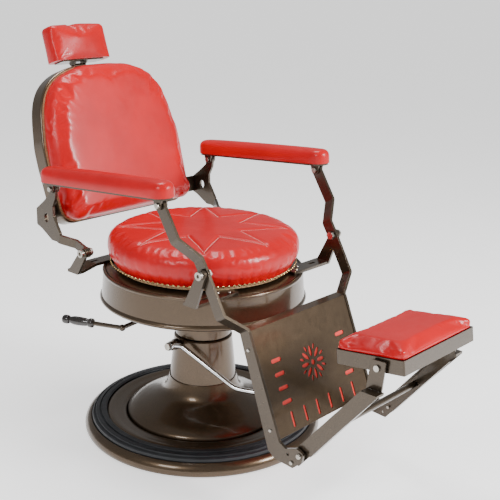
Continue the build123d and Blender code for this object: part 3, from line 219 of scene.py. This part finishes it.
def start_pad(name, node, voxel, shrink, base, normal):
    """A closed, evenly meshed copy of a soft CAD solid, drawn in a little so that it can swell.

    Its underside is lowered first, so that its edge stays square where it is cut back to its base,
    and that lowered hem is held still while the pad swells."""
    mesh = nodes[node].data.copy()
    for vertex in mesh.vertices:
        if (vertex.co - base).dot(normal) < 0.003:
            vertex.co = vertex.co - normal * HEM_DROP
    made = bpy.data.objects.new(name, mesh)
    scene.collection.objects.link(made)
    remesh = made.modifiers.new("remesh", "REMESH")
    remesh.mode = "VOXEL"
    remesh.voxel_size = voxel
    smooth = made.modifiers.new("smooth", "SMOOTH")
    smooth.iterations = 6
    displace = made.modifiers.new("draw_in", "DISPLACE")
    displace.strength = -shrink
    displace.mid_level = 0
    mesh = evaluated_mesh(made)
    made.modifiers.clear()
    made.data = mesh
    hem = made.vertex_groups.new(name="hem")
    hem.add([vertex.index for vertex in mesh.vertices if (vertex.co - base).dot(normal) < 0.002],
            1.0, "REPLACE")
    return made


def inflate(pads):
    """Cloth pressure swells the pads, and each point moves no further than its pad's cap."""
    for made, cap in pads:
        cloth = made.modifiers.new("cloth", "CLOTH")
        if "hem" in made.vertex_groups:
            cloth.settings.vertex_group_mass = "hem"
        cloth.settings.use_pressure = True
        cloth.settings.uniform_pressure_force = PRESSURE
        cloth.settings.effector_weights.gravity = 0
        cloth.settings.quality = 4
        cloth.collision_settings.use_collision = False
        cloth.point_cache.frame_end = FRAMES
    for step in range(1, FRAMES + 1):
        scene.frame_set(step)
    swollen = [evaluated_mesh(made) for made, cap in pads]
    for (made, cap), mesh in zip(pads, swollen):
        made.modifiers.clear()
        for vertex, target in zip(made.data.vertices, mesh.vertices):
            move = target.co - vertex.co
            if move.length > cap:
                move = move.normalized() * cap
            vertex.co = vertex.co + move
    scene.frame_set(1)


def finish_pad(made, node, body, flatten):
    """Keeps the pad off what it rests on, subdivides it and settles it on its body."""
    for vertex in made.data.vertices:
        vertex.co = flatten(vertex.co)
    subdivide = made.modifiers.new("subdivide", "SUBSURF")
    subdivide.levels = 1
    mesh = evaluated_mesh(made)
    made.modifiers.clear()
    made.data = mesh
    for vertex in made.data.vertices:
        vertex.co = flatten(vertex.co)
    mesh.materials.clear()
    mesh.materials.append(red_vinyl.material)
    for face in mesh.polygons:
        face.use_smooth = True
    settle(made, body)
    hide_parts(node)


def above(point, normal):
    """A function that lifts a point up to the plane through this point, if it is below it."""
    def flatten(co):
        under = (co - point).dot(normal)
        return co - normal * under if under < 0 else co
    return flatten


def start_seat(name):
    """The round cushion as a lathed cover: full shoulders, a crowned top and a turned-in hem."""
    profile = [(0.0, 0.4837), (0.12, 0.4837), (0.235, 0.4837), (0.2365, 0.476), (0.2385, 0.4748),
               (0.245, 0.4752), (0.2468, 0.479), (0.2487, 0.4862), (0.2535, 0.4935), (0.259, 0.503),
               (0.2625, 0.515), (0.2635, 0.529), (0.261, 0.542), (0.254, 0.553), (0.243, 0.560),
               (0.228, 0.5640), (0.208, 0.5655), (0.18, 0.5665), (0.14, 0.5672), (0.09, 0.5678),
               (0.04, 0.568), (0.0, 0.568)]
    shape = bmesh.new()
    line = [shape.verts.new((radius, 0, height)) for radius, height in profile]
    for first, second in zip(line, line[1:]):
        shape.edges.new((first, second))
    bmesh.ops.spin(shape, geom=shape.verts[:] + shape.edges[:], axis=(0, 0, 1), cent=(0, 0, 0),
                   steps=96, angle=math.tau)
    bmesh.ops.remove_doubles(shape, verts=shape.verts[:], dist=1e-5)
    bmesh.ops.recalc_face_normals(shape, faces=shape.faces[:])
    mesh = bpy.data.meshes.new(name)
    shape.to_mesh(mesh)
    shape.free()
    made = bpy.data.objects.new(name, mesh)
    scene.collection.objects.link(made)
    remesh = made.modifiers.new("remesh", "REMESH")
    remesh.mode = "VOXEL"
    remesh.voxel_size = 0.005
    smooth = made.modifiers.new("smooth", "SMOOTH")
    smooth.iterations = 2
    mesh = evaluated_mesh(made)
    made.modifiers.clear()
    made.data = mesh
    return made


LEAN = math.radians(18.5)
BACK_NORMAL = Vector((0, -math.cos(LEAN), math.sin(LEAN)))
BACK_BASE = BACK_NORMAL * -0.1197
BACK_UP = Vector((0, math.sin(LEAN), math.cos(LEAN)))
HEAD_BASE = BACK_UP * 1.0812
ARM_NORMAL = Vector((0, 0.033, 0.414)).normalized()
ARM_BASE = Vector((0, 0.059, 0.6915)) + ARM_NORMAL * 0.0202
TILT = math.radians(7.8)
FOOT_NORMAL = Vector((0, math.sin(TILT), math.cos(TILT)))
FOOT_BASE = Vector((0, -0.684, 0.421)) + FOOT_NORMAL * 0.0232

seat = start_seat("seat_cushion_cover")
back = start_pad("back_pad_cover", "back_pad", 0.006, -0.0025, BACK_BASE, BACK_NORMAL)
head = start_pad("headrest_pad_cover", "headrest_pad", 0.005, 0.001, HEAD_BASE, BACK_UP)
arms = {side: start_pad("armrest_pad_cover_" + side, "armrest_pad_" + side, 0.0045, 0.002, ARM_BASE,
                        ARM_NORMAL) for side in ("left", "right")}
foot = start_pad("footrest_pad_cover", "footrest_pad", 0.005, 0.0015, FOOT_BASE, FOOT_NORMAL)
inflate([(seat, 0.006), (back, 0.010), (head, 0.010), (arms["left"], 0.007),
         (arms["right"], 0.007), (foot, 0.008)])

finish_pad(back, "back_pad", "backrest", above(BACK_BASE, BACK_NORMAL))
finish_pad(head, "headrest_pad", "headrest", above(HEAD_BASE, BACK_UP))
for side in ("left", "right"):
    finish_pad(arms[side], "armrest_pad_" + side, "armrest_" + side, above(ARM_BASE, ARM_NORMAL))
finish_pad(foot, "footrest_pad", "footrest", above(FOOT_BASE, FOOT_NORMAL))


# ---- the seat's seams ----
STAR_TIPS = 8
STAR_TIP = 0.226
STAR_INNER = 0.105
SEAM_DEPTH = 0.0035
SEAM_WIDTH = 0.006
TOP_LOW = 0.53
SIDE_RADIUS = 0.238
GATHER_TOP = 0.545
GATHER_BOTTOM = 0.478
GATHER_DEPTH = 0.0022
HEM_LOW = 0.4745


def star_distance(x, y):
    """How far a point of the seat's top is from the nearest seam of the star."""
    angle = math.atan2(y, x)
    sector = math.tau / STAR_TIPS
    angle = (angle + sector / 2) % sector - sector / 2
    radius = math.hypot(x, y)
    place = Vector((radius * math.cos(abs(angle)), radius * math.sin(abs(angle))))
    tip = Vector((STAR_TIP, 0))
    seam = Vector((STAR_INNER * math.cos(sector / 2), STAR_INNER * math.sin(sector / 2))) - tip
    along = min(1.0, max(0.0, (place - tip).dot(seam) / seam.length_squared))
    return (place - tip - along * seam).length


def shape_seat(co):
    """The seat's seams: a stitched star, and gathers under the edge where the cover is pulled in."""
    radius = math.hypot(co.x, co.y)
    if co.z > TOP_LOW and radius > 1e-6:
        near = star_distance(co.x, co.y)
        co = co + Vector((0, 0, -SEAM_DEPTH * math.exp(-(near / SEAM_WIDTH) ** 2)))
    if co.z < GATHER_TOP and radius > SIDE_RADIUS:
        angle = math.atan2(co.y, co.x)
        depth = max(0.0, min(1.0, (GATHER_TOP - co.z) / 0.05))
        depth = depth * max(0.0, min(1.0, (co.z - GATHER_BOTTOM) / 0.01))
        ripple = 0.5 + 0.5 * math.sin(angle * 46 + 1.7 * math.sin(angle * 7))
        co = co + Vector((co.x, co.y, 0)) / radius * (-GATHER_DEPTH * depth * ripple ** 3)
    return co


def seat_limit(co):
    """Keeps the cover's hem clear of the seat plate."""
    return Vector((co.x, co.y, max(co.z, HEM_LOW)))


finish_pad(seat, "seat_cushion", "seat", seat_limit)
for vertex in seat.data.vertices:
    vertex.co = shape_seat(vertex.co)


def add_tube(shape, start, end, radius, sides=6):
    """A short round-ended capsule from start to end, added to the bmesh."""
    axis = (end - start).normalized()
    side = axis.orthogonal().normalized()
    other = axis.cross(side)
    rings = []
    for place, swell in ((start - axis * radius * 0.6, 0.35), (start, 1), (end, 1),
                         (end + axis * radius * 0.6, 0.35)):
        ring = []
        for index in range(sides):
            angle = math.tau * index / sides
            ring.append(shape.verts.new(place + (side * math.cos(angle)
                                                 + other * math.sin(angle)) * radius * swell))
        rings.append(ring)
    for first, second in zip(rings, rings[1:]):
        for index in range(sides):
            after = (index + 1) % sides
            shape.faces.new((first[index], first[after], second[after], second[index]))
    shape.faces.new(rings[0][::-1])
    shape.faces.new(rings[-1])


def on_surface(obj, start, direction):
    """The first point of an object's surface along a ray, and its normal."""
    hit, place, normal, index = obj.ray_cast(start, direction)
    return (place, normal) if hit else (None, None)


def stitch(name, obj, path, project, body, pitch=0.0068, length=0.0044):
    """A run of stitches along each path, dropped onto an object's surface along a direction."""
    shape = bmesh.new()
    for first, second in path:
        reach = (second - first).length
        count = max(1, int(reach / pitch))
        unit = (second - first) / reach
        for index in range(count):
            low, low_normal = on_surface(obj, first + unit * (index * pitch), project)
            high, high_normal = on_surface(obj, first + unit * (index * pitch + length), project)
            if low is None or high is None:
                continue
            add_tube(shape, low + low_normal * 0.0001, high + high_normal * 0.0001, 0.00062)
    mesh = bpy.data.meshes.new(name)
    shape.to_mesh(mesh)
    shape.free()
    made = bpy.data.objects.new(name, mesh)
    scene.collection.objects.link(made)
    mesh.materials.append(thread.material)
    for face in mesh.polygons:
        face.use_smooth = True
    settle(made, body)
    return made


star = []
for index in range(2 * STAR_TIPS):
    angle = math.pi / STAR_TIPS * index
    corner = STAR_TIP if index % 2 == 0 else STAR_INNER
    star.append(Vector((corner * math.cos(angle), corner * math.sin(angle), 0.62)))
seat.data.update()
stitch("seat_star_stitching", seat, list(zip(star, star[1:] + star[:1])), Vector((0, 0, -1)), "seat")

# ---- camera, light and floor ----
heading, pitch, roll = math.radians(-47.93), math.radians(-16.89), math.radians(1.24)
forward = Vector((-math.sin(heading) * math.cos(pitch), math.cos(heading) * math.cos(pitch),
                  math.sin(pitch)))
level = Vector((math.cos(heading), math.sin(heading), 0))
upward = level.cross(forward)
right = level * math.cos(roll) + upward * math.sin(roll)
above_view = upward * math.cos(roll) - level * math.sin(roll)
camera = bpy.data.objects.new("camera", bpy.data.cameras.new("camera"))
camera.data.lens = 69.07
camera.data.sensor_width = 36
camera.matrix_world = Matrix.Translation((-1.7585, -1.7554, 1.2614)) @ Matrix(
    (right, above_view, -forward)).transposed().to_4x4()
scene.collection.objects.link(camera)
scene.camera = camera

floor_mesh = bpy.data.meshes.new("floor")
shape = bmesh.new()
bmesh.ops.create_circle(shape, cap_ends=True, segments=64, radius=90)
shape.to_mesh(floor_mesh)
shape.free()
floor = bpy.data.objects.new("floor", floor_mesh)
floor.location.z = -0.0005
white = Shader("floor", (0.86, 0.86, 0.86), 0.7)
white.colour(white.noise(3), (0.85, 0.85, 0.85), (0.87, 0.87, 0.87))
white.bsdf.inputs["Emission Color"].default_value = (1, 1, 1, 1)
white.bsdf.inputs["Emission Strength"].default_value = 1.0
floor_mesh.materials.append(white.material)
scene.collection.objects.link(floor)

world = bpy.data.worlds.new("studio")
world.use_nodes = True
world.node_tree.nodes["Background"].inputs["Color"].default_value = (1, 1, 1, 1)
world.node_tree.nodes["Background"].inputs["Strength"].default_value = 0.35
scene.world = world


def area_light(name, place, aim, size, power):
    light = bpy.data.lights.new(name, "AREA")
    light.energy = power
    light.size = size
    made = bpy.data.objects.new(name, light)
    made.location = place
    made.rotation_euler = (Vector(aim) - Vector(place)).to_track_quat("-Z", "Y").to_euler()
    scene.collection.objects.link(made)


area_light("key", (1.2, -3.0, 2.0), (0, 0, 0.5), 0.9, 150)
area_light("fill", (-3.0, -0.6, 2.4), (0, 0, 0.6), 1.0, 40)
area_light("top", (0.2, 0.6, 3.2), (0, 0, 0.6), 1.2, 62)
